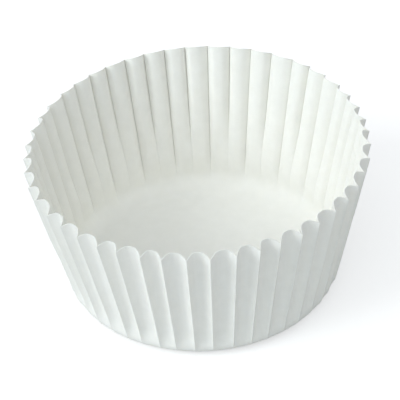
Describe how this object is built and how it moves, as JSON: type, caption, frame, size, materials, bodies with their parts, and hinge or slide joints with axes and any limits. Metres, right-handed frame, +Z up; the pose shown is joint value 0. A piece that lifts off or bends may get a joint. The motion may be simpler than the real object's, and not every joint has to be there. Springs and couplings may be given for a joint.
{
  "type": "cupcake liner",
  "caption": "Pleated paper baking cup: a flat round base, a rounded lower corner and a fluted wall that flares up to an open rim.",
  "frame": {"origin": "middle of the underside, on the surface that the cup stands on", "axes": "+Z up along the cup's axis of symmetry, +X through the middle of one pleat"},
  "size_m": [0.0628, 0.0628, 0.0289],
  "materials": {
    "paper": "matt greaseproof paper"
  },
  "bodies": {
    "root": {"liner": "paper"}
  },
  "joints": []
}
